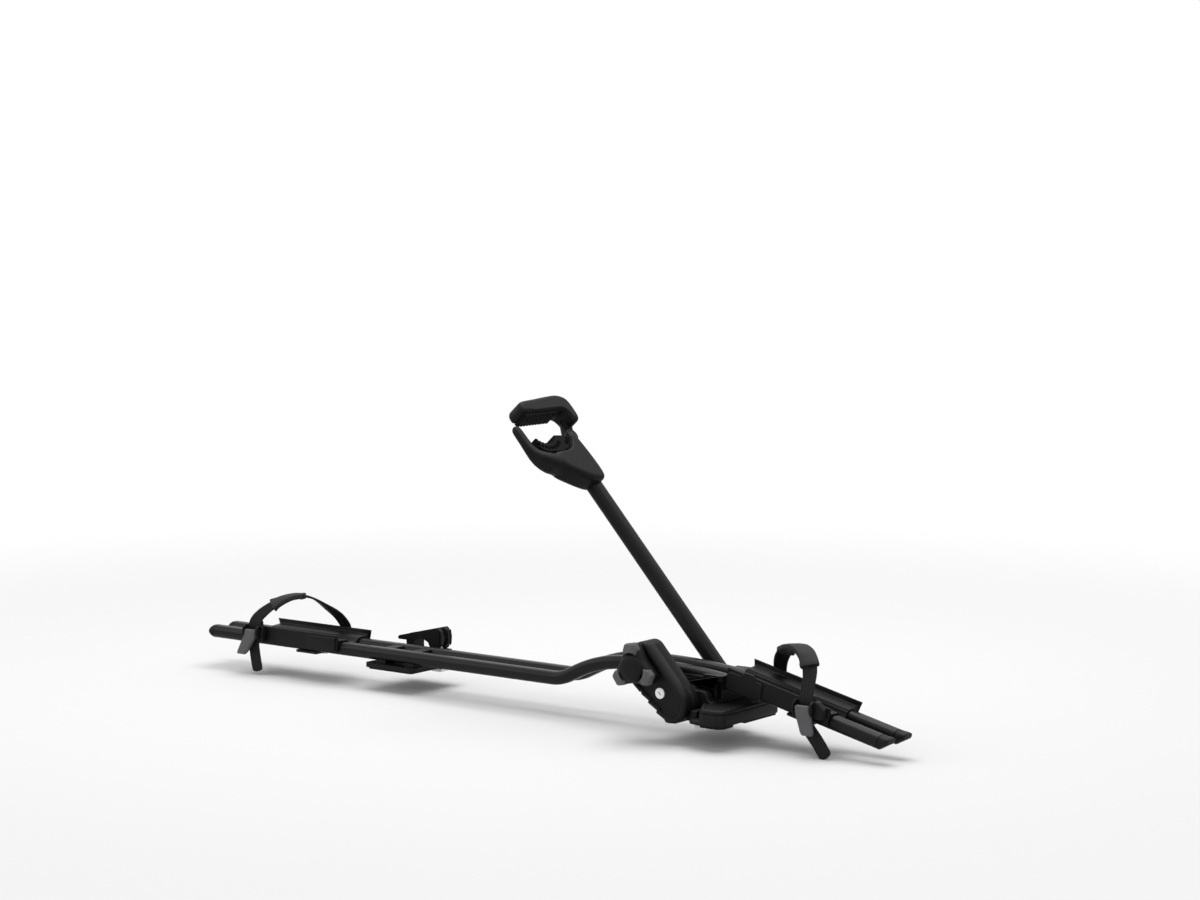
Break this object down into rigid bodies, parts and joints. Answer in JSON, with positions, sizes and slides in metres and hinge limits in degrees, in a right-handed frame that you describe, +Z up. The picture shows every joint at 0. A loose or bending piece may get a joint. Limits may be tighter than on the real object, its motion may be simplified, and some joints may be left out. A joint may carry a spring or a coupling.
{
  "type": "roof mounted bike carrier",
  "caption": "Roof bike carrier with twin bent rails on two crossbar feet, a folding arm whose torque knob closes a frame clamp, and strapped wheel trays.",
  "frame": {"origin": "middle of the front foot's pad, on top of the front crossbar", "axes": "+X towards the front of the car, +Y away from the knob side, +Z up"},
  "size_m": [1.3386, 0.2375, 0.4914],
  "materials": {
    "black_plastic": "fine moulded grain, satin black",
    "tray_plastic": "smooth satin black",
    "anodised_rail": "satin black anodised",
    "pad_rubber": "ribbed black rubber",
    "strap_rubber": "black moulded strap with fine lengthwise ribs",
    "sleeve_rubber": "dark grey soft rubber",
    "grey_plastic": "mid grey soft-touch",
    "zinc_steel": "zinc plated",
    "bush_plastic": "natural bearing plastic",
    "cable_steel": "bare cable",
    "lock_metal": "satin plated"
  },
  "bodies": {
    "base": {"rail_near": "anodised_rail", "rail_far": "anodised_rail", "rear_rail_caps": "black_plastic", "front_rail_caps": "black_plastic", "base_shoe": "black_plastic", "base_pads": "pad_rubber", "rail_bracket": "black_plastic", "bracket_screws": "zinc_steel", "near_bush": "bush_plastic", "far_bush": "bush_plastic", "front_slot_bolts": "zinc_steel", "front_slot_nuts": "zinc_steel", "front_tray": "tray_plastic", "front_plate": "tray_plastic", "front_tray_clamp": "black_plastic", "front_tray_screws": "zinc_steel", "front_strap": "strap_rubber", "front_rim_sleeve": "sleeve_rubber", "front_strap_anchor": "black_plastic", "front_buckle": "black_plastic", "front_buckle_pin": "zinc_steel"},
    "front_buckle_lever": {"front_buckle_lever": "grey_plastic"},
    "arm": {"pivot_shaft": "zinc_steel", "arm_knuckle": "black_plastic", "arm_tube": "anodised_rail", "housing_shell": "black_plastic", "housing_back": "black_plastic", "housing_screws": "zinc_steel", "clamp_body": "black_plastic", "saddle_pad": "pad_rubber", "jaw_pin": "zinc_steel", "drive_cable": "cable_steel", "lock_barrel": "lock_metal"},
    "lock_plug": {"lock_plug": "lock_metal"},
    "knob": {"knob_body": "black_plastic", "knob_tips": "grey_plastic", "knob_shaft": "zinc_steel", "clutch_plate": "zinc_steel", "clutch_washer": "zinc_steel"},
    "upper_jaw": {"upper_jaw": "black_plastic", "upper_jaw_pad": "pad_rubber"},
    "rear_foot": {"rear_foot": "black_plastic", "rear_foot_pad": "pad_rubber", "rear_slot_bolt": "zinc_steel", "lever_pin": "zinc_steel"},
    "rear_lever": {"rear_lever": "black_plastic"},
    "rear_tray": {"rear_tray": "tray_plastic", "rear_plate": "tray_plastic", "rear_tray_clamp": "black_plastic", "rear_tray_screws": "zinc_steel", "rear_strap": "strap_rubber", "rear_rim_sleeve": "sleeve_rubber", "rear_strap_anchor": "black_plastic", "rear_buckle": "black_plastic", "rear_buckle_pin": "zinc_steel"},
    "rear_buckle_lever": {"rear_buckle_lever": "grey_plastic"}
  },
  "joints": [
    {"name": "arm_fold", "type": "hinge", "parent": "base", "child": "arm", "pos_m": [-0.028, 0, 0.024], "axis": [0, 1, 0], "range_deg": [-40, 25]},
    {"name": "knob_turn", "type": "hinge", "parent": "arm", "child": "knob", "pos_m": [-0.08285, -0.119, 0.07685], "axis": [0, 1, 0], "range_deg": [-172.8, 1080]},
    {"name": "jaw_swing", "type": "hinge", "parent": "arm", "child": "upper_jaw", "pos_m": [-0.35643, 0.084, 0.38494], "axis": [-0.7396, 0, -0.673], "range_deg": [-8, 50]},
    {"name": "lock_turn", "type": "hinge", "parent": "arm", "child": "lock_plug", "pos_m": [-0.04675, -0.095, 0.04074], "axis": [0, 1, 0], "range_deg": [0, 90]},
    {"name": "front_buckle_open", "type": "hinge", "parent": "base", "child": "front_buckle_lever", "pos_m": [0.17254, -0.053, 0.03709], "axis": [-1, 0, 0], "range_deg": [0, 70]},
    {"name": "rear_foot_slide", "type": "slide", "parent": "base", "child": "rear_foot", "axis": [1, 0, 0], "range_m": [-0.02, 0.15]},
    {"name": "rear_lever_swing", "type": "hinge", "parent": "rear_foot", "child": "rear_lever", "pos_m": [-0.612, 0.071, 0.041], "axis": [0, 1, 0], "range_deg": [0, 110]},
    {"name": "rear_tray_slide", "type": "slide", "parent": "base", "child": "rear_tray", "axis": [1, 0, 0], "range_m": [-0.07, 0.02]},
    {"name": "rear_buckle_open", "type": "hinge", "parent": "rear_tray", "child": "rear_buckle_lever", "pos_m": [-0.917, -0.053, 0.0375], "axis": [-1, 0, 0], "range_deg": [0, 70]}
  ],
  "couplings": [
    {"joint": "jaw_swing", "follows": "knob_turn", "ratio": 0.046296}
  ]
}
